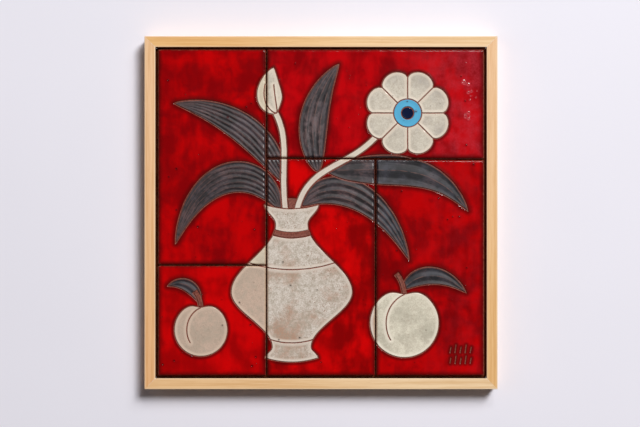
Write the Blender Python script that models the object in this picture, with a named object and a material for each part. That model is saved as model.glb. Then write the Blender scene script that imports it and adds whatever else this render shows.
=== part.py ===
"""Square wall panel: five relief-carved glazed tiles on a plywood board, in a mitred wooden frame.

Metres, +Z up, +X to the right of the picture, which faces -Y.
The origin is on the wall, at the middle of the top rail's back face.
"""

import math

import bmesh
import bpy
import numpy as np
from mathutils import Vector
from mathutils.geometry import delaunay_2d_cdt

# Tiles
FIELD_SIDE = 0.4572  # all five tiles with their joints, side to side
JOINT_WIDTH = 0.0014
SQUARE_TILE_EXTRA = 0.0028  # the square tile was cut this much taller than a third of the field
SEAM_FALL = 0.0020  # the joint below the wide tile drops this much from left to right
TILE_THICKNESS = 0.0095
TILE_CORNER_RADIUS = 0.0020
TILE_EDGE_WIDTH = 0.0030  # the glaze rounds over within this distance of the tile's edge
TILE_EDGE_DROP = 0.0021
TILE_EDGE_STEPS = (0.0, 0.2, 0.55, 1.0)  # rows of points across the rounded edge, as shares of its width

# Carving
GROOVE_WIDTH = 0.0022
GROOVE_DEPTH = 0.0010
CREST_HEIGHT = 0.0010
FLUTE_DEPTH = 0.0009

# Frame and board
FRAME_GAP = 0.0030  # between the tiles and the rails
FRAME_FACE = 0.0152
FRAME_DEPTH = 0.03175
ARRIS_RADIUS = 0.0009
BOARD_THICKNESS = 0.0127
BOARD_SETBACK = 0.00635  # from the wall to the board
CLEARANCE = 0.0003  # between two pieces that touch
MERGE_DISTANCE = 0.00003  # points of a tile's face closer than this become one
SHARP_ANGLE = math.radians(40)

# Worked out from the sizes above
FIELD_HALF = FIELD_SIDE / 2
OPENING_HALF = FIELD_HALF + FRAME_GAP
PANEL_CENTRE_Z = -(OPENING_HALF + FRAME_FACE / 2)
BOARD_FRONT_Y = -(BOARD_SETBACK + BOARD_THICKNESS)
TILE_BACK_Y = BOARD_FRONT_Y - CLEARANCE
UNIT = FIELD_SIDE / 100  # the drawing's own unit: a hundredth of the field

# The drawing, in hundredths of the field, from its centre
VASE_AXIS_X = -9.0
VASE_FOOT_Z = -44.5
VASE_HEIGHT = 47.0
VASE_PROFILE = ((0.0, 8.2), (0.07, 6.0), (0.43, 18.6), (0.87, 5.0), (1.0, 8.4))  # height share, half width
VASE_ROWS = 28
VASE_STRAPS = (0.80, 0.835)  # height shares of the strap round the neck
VASE_RINGS = (0.62, 0.12)  # height shares of the single lines
RING_POINTS = 9
RING_SAG = 0.16  # how far a ring bows down, as a share of its half width
MOUTH_RISE = 0.22  # half height of the mouth's far rim, as a share of its half width
STEM_HALF_WIDTH = 0.95
STEM_ROWS = 12
STEMS = (
    ((-7.6, 0.0), (-4.5, 15.0), (8.0, 13.0), (17.5, 24.0)),
    ((-10.8, 0.0), (-12.8, 14.0), (-9.0, 22.0), (-14.5, 31.5)),
)
LEAVES = (  # spine of four control points, half breadth, flutes on each side of the mid rib
    (((-12.6, 1.0), (-19.0, 17.0), (-38.0, 14.0), (-44.5, -9.5)), 4.7, 3),
    (((-11.6, 9.5), (-17.0, 24.0), (-30.0, 32.0), (-45.0, 33.5)), 4.5, 3),
    (((-0.8, 12.4), (-4.5, 25.0), (-2.0, 36.0), (5.5, 45.5)), 4.3, 2),
    (((1.5, 13.2), (17.0, 12.0), (34.0, 17.5), (45.0, 0.5)), 4.6, 1),
    (((-5.8, 2.0), (2.0, 12.0), (19.0, 6.5), (27.0, -14.5)), 4.4, 2),
    (((25.0, -23.5), (30.0, -17.5), (38.0, -18.0), (44.5, -24.5)), 2.7, 1),
    (((-37.2, -27.6), (-38.5, -22.0), (-43.0, -20.5), (-47.0, -22.5)), 1.9, 1),
)
LEAF_ROWS = 15
LEAF_SKEW = 0.8  # under 1, the leaf is widest nearer its foot
LEAF_FULLNESS = 0.75  # lower is fuller
BLOSSOM_CENTRE = (26.5, 30.5)
BLOSSOM_RADIUS = 13.2
BLOSSOM_PETALS = 8
PETAL_POINTS = 6
PETAL_NOTCH = 0.17  # how far the outline dips between two petals
PETAL_FULLNESS = 0.6  # lower is fuller
HEART_RADIUS = 4.3
CORE_RADIUS = 1.9
BUD_SPINE = ((-13.6, 30.5), (-16.5, 34.0), (-16.5, 39.0), (-14.5, 44.5))
BUD_HALF_WIDTH = 3.9
BUD_ROWS = 10
BUD_FOLDS = (-0.42, 0.42)  # shares of the half width
BUD_FOLD_ROWS = 8
FRUITS = (((25.5, -33.5), 10.6), ((-36.8, -35.6), 8.2))  # centre, radius
FRUIT_POINTS = 36
FRUIT_DIMPLE = 0.16  # depth at the stalk, as a share of the radius
FRUIT_DIMPLE_ANGLE = 0.35
FRUIT_DROOP = 0.03  # how much lower its middle hangs, as a share of the radius
FRUIT_SEAM = ((0.0, 0.79), (-0.52, 0.57), (-0.66, -0.09), (-0.4, -0.52))  # shares of the radius
STALK_SPINE = ((0.0, 0.8), (-0.03, 1.04), (-0.09, 1.23), (-0.22, 1.39))  # shares of the fruit's radius
STALK_HALF_WIDTH = 0.7
STALK_ROWS = 4
MARK_CORNER = (39.5, -46.0)  # lower left end of the two rows of short strokes
MARK_STROKES = 5
MARK_PITCH = 1.55
MARK_ROWS = 2
MARK_ROW_PITCH = 3.2
MARK_LENGTHS = (1.55, 2.2)  # short and long strokes in turn
MARK_LEAN = 0.3  # how far a stroke's top leans to the right

RED = (0.52, 0.004, 0.004)
CREAM = (0.63, 0.55, 0.43)
CHARCOAL = (0.085, 0.075, 0.08)
PALE_BLUE = (0.22, 0.52, 0.72)
DARK_BLUE = (0.01, 0.03, 0.12)
BARE_CLAY = (0.13, 0.045, 0.025)
MAPLE = (0.76, 0.50, 0.28)
PLYWOOD = (0.42, 0.27, 0.15)


def clear_scene():
    for thing in list(bpy.data.objects):
        bpy.data.objects.remove(thing, do_unlink=True)


def material(name, colour, roughness):
    made = bpy.data.materials.new(name)
    made.use_nodes = True
    shader = made.node_tree.nodes["Principled BSDF"]
    shader.inputs["Base Color"].default_value = (*colour, 1)
    shader.inputs["Roughness"].default_value = roughness
    shader.inputs["Metallic"].default_value = 0
    made.diffuse_color = (*colour, 1)
    return made


def bezier(controls, count):
    """Points along a cubic curve, its control points given in drawing units."""
    share = np.linspace(0, 1, count)[:, None]
    first, second, third, last = np.array(controls) * UNIT
    rest = 1 - share
    return (
        first * rest**3
        + 3 * second * share * rest**2
        + 3 * third * share**2 * rest
        + last * share**3
    )


def unit_normals(path):
    along = np.gradient(path, axis=0)
    along = along / np.linalg.norm(along, axis=1)[:, None]
    return np.column_stack([-along[:, 1], along[:, 0]])


def closed_line(outline):
    return np.vstack([outline, outline[:1]])


def circle(centre, radius, count):
    angle = np.arange(count) * 2 * math.pi / count
    spokes = np.column_stack([np.cos(angle), np.sin(angle)])
    return np.array(centre) * UNIT + spokes * radius * UNIT


def inside(points, outline):
    """Which of the points lie within a closed outline."""
    x = points[:, 0, None]
    z = points[:, 1, None]
    start = outline
    end = np.roll(outline, -1, axis=0)
    spans = (start[:, 1] > z) != (end[:, 1] > z)
    rise = end[:, 1] - start[:, 1]
    slope = (end[:, 0] - start[:, 0]) / np.where(rise == 0, 1, rise)
    reached = start[:, 0] + (z - start[:, 1]) * slope
    return np.count_nonzero(spans & (x < reached), axis=1) % 2 == 1


def distance_to(points, lines):
    """Distance from each point to the nearest of the lines."""
    nearest = np.full(len(points), FIELD_SIDE)
    for line in lines:
        along = np.diff(line, axis=0)
        offset = points[:, None] - line[:-1]
        share = (offset * along).sum(axis=2) / np.maximum((along**2).sum(axis=1), 1e-18)
        apart = offset - np.clip(share, 0, 1)[..., None] * along
        nearest = np.minimum(nearest, np.hypot(apart[..., 0], apart[..., 1]).min(axis=1))
    return nearest


def leaf_breadth(share):
    """Half breadth along a leaf, as a share of its widest: pointed at both ends."""
    return np.sin(math.pi * share**LEAF_SKEW) ** LEAF_FULLNESS


def leaf_sides(spine, half_breadth, rows):
    path = bezier(spine, rows + 1)
    breadth = half_breadth * UNIT * leaf_breadth(np.linspace(0, 1, rows + 1))
    return path, unit_normals(path) * breadth[:, None]


def flute_profile(flutes):
    """Places of crests and flutes from the mid rib out, as shares of the half breadth, and their heights."""
    places = np.arange(2 * flutes + 1)
    heights = np.where(places % 2, -FLUTE_DEPTH, CREST_HEIGHT)
    heights[-1] = CREST_HEIGHT / 2
    return places / (2 * flutes), heights


def fluted_relief(spine, half_breadth, flutes):
    """Height over a leaf: crests with hollow flutes between them, dying out at its tips."""
    samples = 6 * LEAF_ROWS
    path = bezier(spine, samples + 1)
    breadth = leaf_breadth(np.linspace(0, 1, samples + 1))
    shares, heights = flute_profile(flutes)

    def height(points):
        apart = np.linalg.norm(points[:, None] - path[None], axis=2)
        nearest = apart.argmin(axis=1)
        local = np.maximum(breadth[nearest], 1e-6)
        across = apart.min(axis=1) / (local * half_breadth * UNIT)
        return np.interp(across, shares, heights) * local

    return height


def leaf(spine, half_breadth, flutes):
    path, side = leaf_sides(spine, half_breadth, LEAF_ROWS)
    outline = np.vstack([path + side, (path - side)[-2:0:-1]])
    shares = np.linspace(-1, 1, 4 * flutes + 1)[1:-1]
    columns = [(path + side * share)[1:-1] for share in shares]
    relief = fluted_relief(spine, half_breadth, flutes)
    return motif("charcoal", outline, columns=columns, relief=relief)


def bud():
    path, side = leaf_sides(BUD_SPINE, BUD_HALF_WIDTH, BUD_ROWS)
    outline = np.vstack([path + side, (path - side)[-2:0:-1]])
    folds = [(path + side * share)[:BUD_FOLD_ROWS] for share in BUD_FOLDS]
    return motif("cream", outline, lines=folds)


def band(spine, half_width, rows, glaze):
    path = bezier(spine, rows + 1)
    side = unit_normals(path) * half_width * UNIT
    return motif(glaze, np.vstack([path + side, (path - side)[::-1]]))


def vase_half_width(share):
    """Half width of the vase at a share of its height, easing between its widest and narrowest places."""
    heights, widths = np.array(VASE_PROFILE).T
    place = np.clip(np.searchsorted(heights, share, side="right") - 1, 0, len(heights) - 2)
    within = (share - heights[place]) / (heights[place + 1] - heights[place])
    eased = (1 - np.cos(math.pi * within)) / 2
    return (widths[place] + (widths[place + 1] - widths[place]) * eased) * UNIT


def vase_ring(share):
    """A line across the vase, bowed down as round a vessel seen from above."""
    half_width = vase_half_width(np.array([share]))[0]
    across = np.linspace(-1, 1, RING_POINTS)
    level = (VASE_FOOT_Z + VASE_HEIGHT * share) * UNIT
    sag = RING_SAG * half_width * (1 - across**2)
    return np.column_stack([VASE_AXIS_X * UNIT + across * half_width, level - sag])


def vase():
    share = np.linspace(0, 1, VASE_ROWS + 1)
    half_width = vase_half_width(share)
    level = (VASE_FOOT_Z + VASE_HEIGHT * share) * UNIT
    right = np.column_stack([VASE_AXIS_X * UNIT + half_width, level])
    left = np.column_stack([VASE_AXIS_X * UNIT - half_width, level])
    foot, rim = vase_ring(0.0), vase_ring(1.0)
    outline = np.vstack([foot[:-1], right[:-1], rim[:0:-1], left[:0:-1]])
    lower, upper = (vase_ring(share) for share in VASE_STRAPS)
    strap = motif("clay", np.vstack([lower, upper[::-1]]))
    return [strap, motif("cream", outline, lines=[vase_ring(share) for share in VASE_RINGS])]


def vase_mouth():
    """The dark inside of the mouth, seen behind what stands in it."""
    rim = vase_ring(1.0)
    far_rim = rim.copy()
    level = rim[0, 1]
    far_rim[:, 1] = level + (level - rim[:, 1]) * MOUTH_RISE / RING_SAG
    return motif("clay", np.vstack([rim, far_rim[-2:0:-1]]))


def blossom():
    """A round flower: its core and heart in front, and the petals behind them."""
    angle = np.arange(BLOSSOM_PETALS * PETAL_POINTS) * 2 * math.pi / (BLOSSOM_PETALS * PETAL_POINTS)
    dip = np.abs(np.sin(angle * BLOSSOM_PETALS / 2)) ** PETAL_FULLNESS
    radius = BLOSSOM_RADIUS * (1 - PETAL_NOTCH * (1 - dip))
    spokes = np.column_stack([np.cos(angle), np.sin(angle)])
    centre = np.array(BLOSSOM_CENTRE) * UNIT
    outline = centre + spokes * radius[:, None] * UNIT
    notches = [
        np.array([centre + spokes[at] * HEART_RADIUS * UNIT, outline[at]])
        for at in range(0, len(angle), PETAL_POINTS)
    ]
    return [
        motif("dark_blue", circle(BLOSSOM_CENTRE, CORE_RADIUS, 14)),
        motif("pale_blue", circle(BLOSSOM_CENTRE, HEART_RADIUS, 20)),
        motif("cream", outline, lines=notches),
    ]


def fruit(centre, radius):
    """A round fruit with a dimple where the stalk sits, and a seam down its left side."""
    outline = circle(centre, radius, FRUIT_POINTS)
    middle = np.array(centre) * UNIT
    spokes = outline - middle
    turned = np.arctan2(spokes[:, 0], spokes[:, 1])
    dimple = FRUIT_DIMPLE * np.exp(-((turned / FRUIT_DIMPLE_ANGLE) ** 2))
    shrink = 1 - dimple - FRUIT_DROOP * np.cos(turned)
    seam = bezier(np.array(centre) + np.array(FRUIT_SEAM) * radius, 9)
    return motif("cream", middle + spokes * shrink[:, None], lines=[seam])


def stalk(centre, radius):
    spine = np.array(centre) + np.array(STALK_SPINE) * radius
    return band(spine, STALK_HALF_WIDTH, STALK_ROWS, "clay")


def mark():
    """Two rows of short leaning strokes in the lower right corner."""
    strokes = []
    for row in range(MARK_ROWS):
        for place in range(MARK_STROKES):
            foot = np.array(MARK_CORNER) + (place * MARK_PITCH, row * MARK_ROW_PITCH)
            top = foot + (MARK_LEAN, MARK_LENGTHS[place % 2])
            strokes.append(np.array([foot, top]) * UNIT)
    return strokes


def motif(glaze, outline, lines=(), columns=(), relief=None):
    """A shape of the drawing: its outline, the lines cut in it, and lines that only carry its relief."""
    return {"glaze": glaze, "outline": outline, "lines": lines, "columns": columns, "relief": relief}


def hidden_by(points, covers):
    hidden = np.zeros(len(points), bool)
    for cover in covers:
        hidden |= inside(points, cover["outline"])
    return hidden


def crossing(start, end, covers):
    """Where the stretch between a seen and a hidden point meets the cover's outline."""
    start_hidden = hidden_by(start[None], covers)[0]
    for _ in range(16):
        middle = (start + end) / 2
        if hidden_by(middle[None], covers)[0] == start_hidden:
            start = middle
        else:
            end = middle
    return (start + end) / 2


def visible_runs(line, covers):
    """The stretches of a line that no nearer shape covers."""
    hidden = hidden_by(line, covers)
    runs = []
    run = []
    for place, point in enumerate(line):
        if place and hidden[place] != hidden[place - 1]:
            run.append(crossing(line[place - 1], point, covers))
            if hidden[place]:
                runs.append(np.array(run))
                run = []
        if not hidden[place]:
            run.append(point)
    runs.append(np.array(run))
    return [run for run in runs if len(run) > 1]


def drawing():
    """Every shape from the nearest to the furthest, the grooves cut round them, and their relief lines."""
    shapes = [
        *vase(),
        *blossom(),
        bud(),
        *(fruit(centre, radius) for centre, radius in FRUITS),
        *(band(spine, STEM_HALF_WIDTH, STEM_ROWS, "cream") for spine in STEMS),
        *(stalk(centre, radius) for centre, radius in FRUITS),
        *(leaf(spine, half_breadth, flutes) for spine, half_breadth, flutes in LEAVES),
        vase_mouth(),
    ]
    grooves = mark()
    columns = []
    for place, shape in enumerate(shapes):
        covers = shapes[:place]
        for line in (closed_line(shape["outline"]), *shape["lines"]):
            grooves += visible_runs(line, covers)
        for line in shape["columns"]:
            columns += visible_runs(line, covers)
    return {"shapes": shapes, "grooves": grooves, "columns": columns}


def carved_height(points, picture):
    """Height of the glaze over the tile's flat face."""
    height = np.zeros(len(points))
    free = np.ones(len(points), bool)
    for shape in picture["shapes"]:
        own = free & inside(points, shape["outline"])
        if shape["relief"] and own.any():
            height[own] = shape["relief"](points[own])
        free &= ~own
    cut = np.clip(1 - distance_to(points, picture["grooves"]) / (GROOVE_WIDTH / 2), 0, 1)
    return height * (1 - cut) - GROOVE_DEPTH * cut


def groove_lines(runs):
    """Each groove's bottom and its two lips."""
    lines = []
    for run in runs:
        side = unit_normals(run) * GROOVE_WIDTH / 2
        lines += [run, run + side, run - side]
    return lines


def rounded_outline(corners, inset):
    """A four-cornered tile's outline, moved in by the inset, with round corners."""
    corners = np.array(corners)
    before = np.roll(corners, 1, axis=0)
    after = np.roll(corners, -1, axis=0)
    radius = max(TILE_CORNER_RADIUS - inset, TILE_CORNER_RADIUS / 4)
    outline = []
    for corner, back, ahead in zip(corners, before, after):
        inward = [(back - corner) / np.linalg.norm(back - corner)]
        inward.append((ahead - corner) / np.linalg.norm(ahead - corner))
        centre = corner + (inward[0] + inward[1]) * (inset + radius)
        for share in np.linspace(0, math.pi / 2, 4):
            spoke = -inward[1] * math.cos(share) - inward[0] * math.sin(share)
            outline.append(centre + radius * spoke)
    return np.array(outline)


def tile_corners():
    """Each tile's corners, anticlockwise from its lower left, from the field's centre."""
    half_joint = JOINT_WIDTH / 2
    square = (FIELD_SIDE - 2 * JOINT_WIDTH) / 3
    low = -FIELD_HALF
    high = FIELD_HALF
    left_joint = low + square + half_joint
    right_joint = high - square - half_joint
    level_joint = low + square + half_joint + SQUARE_TILE_EXTRA

    def seam(x):
        return right_joint - SEAM_FALL * (x - left_joint) / (high - left_joint)

    def below_seam(left, right):
        return [
            (left, low),
            (right, low),
            (right, seam(right) - half_joint),
            (left, seam(left) - half_joint),
        ]

    def upright(left, right, bottom, top):
        return [(left, bottom), (right, bottom), (right, top), (left, top)]

    wide_left = left_joint + half_joint
    return {
        "tile_upper_left": upright(low, left_joint - half_joint, level_joint + half_joint, high),
        "tile_lower_left": upright(low, left_joint - half_joint, low, level_joint - half_joint),
        "tile_upper_right": [
            (wide_left, seam(wide_left) + half_joint),
            (high, seam(high) + half_joint),
            (high, high),
            (wide_left, high),
        ],
        "tile_middle": below_seam(wide_left, right_joint - half_joint),
        "tile_lower_right": below_seam(right_joint + half_joint, high),
    }


def near_tile(line, corners):
    """The line's segments that come near a tile, as pairs of points."""
    low = np.min(corners, axis=0) - GROOVE_WIDTH
    high = np.max(corners, axis=0) + GROOVE_WIDTH
    return [
        (start, end)
        for start, end in zip(line[:-1], line[1:])
        if np.all(np.minimum(start, end) < high) and np.all(np.maximum(start, end) > low)
    ]


def tile_face(corners, picture):
    """The tile's front cut into triangles along its rounded edge and the drawing, with their heights."""
    loops = [rounded_outline(corners, TILE_EDGE_WIDTH * share) for share in TILE_EDGE_STEPS]
    points = []
    edges = []
    for loop in loops:
        first = len(points)
        points += [Vector(point) for point in loop]
        edges += [(first + k, first + (k + 1) % len(loop)) for k in range(len(loop))]
    for line in groove_lines(picture["grooves"]) + picture["columns"]:
        for start, end in near_tile(line, corners):
            edges.append((len(points), len(points) + 1))
            points += [Vector(start), Vector(end)]
    found, _, triangles, *_ = delaunay_2d_cdt(points, edges, [], 0, MERGE_DISTANCE)
    flat = np.array([tuple(point) for point in found])
    triangles = np.array(triangles)
    kept = triangles[inside(flat[triangles].mean(axis=1), loops[0])]
    used, kept = np.unique(kept, return_inverse=True)
    flat = flat[used]
    edge = np.clip(1 - distance_to(flat, [closed_line(loops[0])]) / TILE_EDGE_WIDTH, 0, 1)
    height = carved_height(flat, picture) - TILE_EDGE_DROP * edge**2
    return flat, height, kept.reshape(-1, 3)


def tile_object(name, corners, picture, glazes):
    """A tile: its carved front, straight sides and a flat back."""
    flat, height, triangles = tile_face(corners, picture)
    middle = np.mean(corners, axis=0)
    mesh = bmesh.new()
    front = [
        mesh.verts.new((x - middle[0], -TILE_THICKNESS - rise, z - middle[1]))
        for (x, z), rise in zip(flat, height)
    ]
    for triangle in triangles:
        mesh.faces.new([front[k] for k in triangle])
    shape_of = glaze_slots(flat[triangles].mean(axis=1), picture, list(glazes))
    for face, slot in zip(mesh.faces, shape_of):
        face.material_index = int(slot)
    clay = list(glazes).index("clay")
    rim = [edge for edge in mesh.edges if edge.is_boundary]
    pulled = bmesh.ops.extrude_edge_only(mesh, edges=rim)["geom"]
    back = [item for item in pulled if isinstance(item, bmesh.types.BMVert)]
    for corner in back:
        corner.co.y = 0
    for face in (item for item in pulled if isinstance(item, bmesh.types.BMFace)):
        face.material_index = clay
    plain = [corner for corner in back if straight_through(corner)]
    bmesh.ops.dissolve_verts(mesh, verts=plain)
    open_edges = [edge for edge in mesh.edges if edge.is_boundary]
    bmesh.ops.edgeloop_fill(mesh, edges=open_edges, mat_nr=clay)
    bmesh.ops.recalc_face_normals(mesh, faces=mesh.faces)
    tile = object_from(name, mesh, list(glazes.values()))
    tile.data.shade_smooth()
    tile.data.set_sharp_from_angle(angle=SHARP_ANGLE)
    tile.location = (middle[0], TILE_BACK_Y, middle[1])
    return tile


def straight_through(corner):
    """Whether the back outline runs straight on at this corner."""
    ends = [edge.other_vert(corner).co for edge in corner.link_edges if edge.is_boundary]
    first = (ends[0] - corner.co).normalized()
    second = (ends[1] - corner.co).normalized()
    return first.dot(second) < -0.99999


def glaze_slots(points, picture, names):
    """Material slot of the glaze, or of the bare clay in a groove, at each point of the picture."""
    slots = np.full(len(points), names.index("ground"))
    free = np.ones(len(points), bool)
    for shape in picture["shapes"]:
        own = free & inside(points, shape["outline"])
        slots[own] = names.index(shape["glaze"])
        free &= ~own
    slots[distance_to(points, picture["grooves"]) < GROOVE_WIDTH / 2] = names.index("clay")
    return slots


def object_from(name, mesh, materials):
    data = bpy.data.meshes.new(name)
    mesh.to_mesh(data)
    mesh.free()
    for each in materials:
        data.materials.append(each)
    made = bpy.data.objects.new(name, data)
    bpy.context.scene.collection.objects.link(made)
    return made


def rail_profile():
    """Section of a rail: distance out from the opening, and y. The two front arrises are round."""
    front = -FRAME_DEPTH
    profile = [(FRAME_FACE, 0.0), (0.0, 0.0)]
    for centre, turned in ((ARRIS_RADIUS, math.pi), (FRAME_FACE - ARRIS_RADIUS, 1.5 * math.pi)):
        for share in np.linspace(0, math.pi / 2, 5):
            across = centre + ARRIS_RADIUS * math.cos(turned + share)
            profile.append((across, front + ARRIS_RADIUS * (1 + math.sin(turned + share))))
    return profile


def rail_mesh(wood):
    """The bottom rail, mitred at both ends, with half the clearance left at each mitre."""
    mesh = bmesh.new()
    pull_back = CLEARANCE / math.sqrt(2)
    ends = []
    for sign in (-1, 1):
        ends.append(
            [
                mesh.verts.new((sign * (OPENING_HALF + out - pull_back), y, -OPENING_HALF - out))
                for out, y in rail_profile()
            ]
        )
    count = len(ends[0])
    for end in ends:
        mesh.faces.new(end)
    for k in range(count):
        after = (k + 1) % count
        mesh.faces.new([ends[0][k], ends[0][after], ends[1][after], ends[1][k]])
    bmesh.ops.recalc_face_normals(mesh, faces=mesh.faces)
    data = bpy.data.meshes.new("frame_rail")
    mesh.to_mesh(data)
    mesh.free()
    data.materials.append(wood)
    data.shade_smooth()
    data.set_sharp_from_angle(angle=SHARP_ANGLE)
    return data


def frame_rails(panel):
    """Four copies of one rail, turned about the panel's centre."""
    data = rail_mesh(material("frame_wood", MAPLE, 0.45))
    for turn, side in enumerate(("bottom", "left", "top", "right")):
        rail = bpy.data.objects.new(f"frame_rail_{side}", data)
        bpy.context.scene.collection.objects.link(rail)
        rail.parent = panel
        rail.rotation_euler.y = turn * math.pi / 2


def backing_board(panel):
    half = OPENING_HALF - CLEARANCE
    mesh = bmesh.new()
    bmesh.ops.create_cube(mesh, size=1)
    bmesh.ops.scale(mesh, vec=(2 * half, BOARD_THICKNESS, 2 * half), verts=mesh.verts)
    board = object_from("backing_board", mesh, [material("backing_plywood", PLYWOOD, 0.75)])
    board.parent = panel
    board.location.y = BOARD_FRONT_Y + BOARD_THICKNESS / 2


def tiles(panel):
    picture = drawing()
    shared = {
        "cream": material("glaze_cream", CREAM, 0.3),
        "charcoal": material("glaze_charcoal", CHARCOAL, 0.35),
        "pale_blue": material("glaze_pale_blue", PALE_BLUE, 0.25),
        "dark_blue": material("glaze_dark_blue", DARK_BLUE, 0.25),
        "clay": material("bare_clay", BARE_CLAY, 0.8),
    }
    for name, corners in tile_corners().items():
        glazes = {"ground": material(f"{name}_red", RED, 0.15), **shared}
        tile_object(name, corners, picture, glazes).parent = panel


def main():
    clear_scene()
    panel = bpy.data.objects.new("panel", None)
    bpy.context.scene.collection.objects.link(panel)
    panel.location.z = PANEL_CENTRE_Z
    frame_rails(panel)
    backing_board(panel)
    tiles(panel)


main()
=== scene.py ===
import math

import bmesh
import bpy
import numpy as np
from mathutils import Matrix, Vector
from mathutils.geometry import convex_hull_2d, delaunay_2d_cdt
from mathutils.kdtree import KDTree


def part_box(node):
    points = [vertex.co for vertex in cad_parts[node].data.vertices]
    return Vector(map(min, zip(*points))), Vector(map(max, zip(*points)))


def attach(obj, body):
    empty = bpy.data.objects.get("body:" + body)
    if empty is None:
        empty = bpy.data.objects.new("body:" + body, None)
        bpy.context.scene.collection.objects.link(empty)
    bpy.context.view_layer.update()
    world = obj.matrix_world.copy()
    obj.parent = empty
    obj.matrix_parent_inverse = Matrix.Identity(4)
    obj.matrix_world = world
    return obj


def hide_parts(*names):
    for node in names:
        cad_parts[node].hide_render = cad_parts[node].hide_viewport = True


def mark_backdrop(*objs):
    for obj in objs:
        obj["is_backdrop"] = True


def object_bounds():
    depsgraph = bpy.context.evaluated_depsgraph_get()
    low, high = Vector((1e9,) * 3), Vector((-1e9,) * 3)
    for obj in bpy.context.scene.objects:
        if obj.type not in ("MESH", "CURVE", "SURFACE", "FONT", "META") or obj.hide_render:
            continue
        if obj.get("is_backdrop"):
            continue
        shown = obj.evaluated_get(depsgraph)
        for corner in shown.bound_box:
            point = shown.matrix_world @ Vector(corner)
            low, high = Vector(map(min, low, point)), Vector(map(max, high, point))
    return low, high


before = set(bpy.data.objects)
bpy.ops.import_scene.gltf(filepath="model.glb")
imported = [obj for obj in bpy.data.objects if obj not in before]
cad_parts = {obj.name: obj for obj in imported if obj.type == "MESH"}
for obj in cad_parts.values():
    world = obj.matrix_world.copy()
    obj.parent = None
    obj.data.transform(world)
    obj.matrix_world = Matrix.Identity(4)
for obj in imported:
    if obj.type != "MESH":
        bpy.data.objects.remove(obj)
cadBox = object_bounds()
print("frame loaded")

# The field that the five tiles fill. Flat points are x and z from its centre.
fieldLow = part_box("tile_lower_left")[0]
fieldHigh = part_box("tile_upper_right")[1]
fieldCentre = np.array([(fieldLow.x + fieldHigh.x) / 2, (fieldLow.z + fieldHigh.z) / 2])
fieldSide = fieldHigh.x - fieldLow.x
unit = fieldSide / 100  # the drawing is given in hundredths of the field


def bezier(controls, count):
    share = np.linspace(0, 1, count)[:, None]
    first, second, third, last = np.array(controls) * unit
    rest = 1 - share
    return first * rest**3 + 3 * second * share * rest**2 + 3 * third * share**2 * rest + last * share**3


def reachedAlong(path):
    # how far along a line each of its points lies
    return np.concatenate([[0], np.cumsum(np.linalg.norm(np.diff(path, axis=0), axis=1))])


def leftOf(along):
    # unit vectors square to the given directions, to their left
    along = along / np.maximum(np.linalg.norm(along, axis=1), 1e-12)[:, None]
    return np.column_stack([-along[:, 1], along[:, 0]])


def normalsOf(path):
    return leftOf(np.gradient(path, axis=0))


def closed(outline):
    return np.vstack([outline, outline[:1]])


def turnsOf(count):
    return np.arange(count) * 2 * math.pi / count


def spokes(angle):
    return np.column_stack([np.cos(angle), np.sin(angle)])


def circle(centre, radius, count):
    return np.array(centre) * unit + spokes(turnsOf(count)) * radius * unit


def inside(points, outline):
    # which points lie within a closed outline
    found = np.zeros(len(points), bool)
    near = np.all((points >= outline.min(axis=0)) & (points <= outline.max(axis=0)), axis=1)
    x, z = points[near, 0, None], points[near, 1, None]
    start, end = outline, np.roll(outline, -1, axis=0)
    spans = (start[:, 1] > z) != (end[:, 1] > z)
    rise = end[:, 1] - start[:, 1]
    slope = (end[:, 0] - start[:, 0]) / np.where(rise == 0, 1, rise)
    reached = start[:, 0] + (z - start[:, 1]) * slope
    found[near] = np.count_nonzero(spans & (x < reached), axis=1) % 2 == 1
    return found


leafPlan = {
    "leaves": (  # spine, half breadth, flutes on each side of the mid rib
        (((-12.6, 1.0), (-19.0, 17.0), (-38.0, 14.0), (-44.5, -9.5)), 4.7, 3),
        (((-11.6, 9.5), (-17.0, 24.0), (-30.0, 32.0), (-45.0, 33.5)), 4.5, 3),
        (((-0.8, 12.4), (-4.5, 25.0), (-2.0, 36.0), (5.5, 45.5)), 4.3, 2),
        (((1.5, 13.2), (17.0, 12.0), (34.0, 17.5), (45.0, 0.5)), 4.6, 1),
        (((-5.8, 2.0), (2.0, 12.0), (19.0, 6.5), (27.0, -14.5)), 4.4, 2),
        (((25.0, -23.5), (30.0, -17.5), (38.0, -18.0), (44.5, -24.5)), 2.7, 1),
        (((-37.2, -27.6), (-38.5, -22.0), (-43.0, -20.5), (-47.0, -22.5)), 1.9, 1),
    ),
    "skew": 0.8,
    "fullness": 0.75,
    "crestHeight": 0.0010,
    "fluteDepth": 0.0009,
    "fluteRound": 0.4,
    "glazeFill": {1: 0.62, 2: 0.62, 3: 0.46},  # share of the relief that shows, by the number of flutes
    "combStray": 0.00036,
    "combWaves": (75, 170, 260),  # in radians to the metre
}


def leafBreadth(share):
    return np.sin(math.pi * share ** leafPlan["skew"]) ** leafPlan["fullness"]


def leafSides(spine, halfBreadth, rows):
    # a leaf's mid rib, the way from it to the side at each point, and the outline
    path = bezier(spine, rows + 1)
    breadth = halfBreadth * unit * leafBreadth(np.linspace(0, 1, rows + 1))
    side = normalsOf(path) * breadth[:, None]
    return path, side, np.vstack([path + side, (path - side)[-2:0:-1]])


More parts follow.
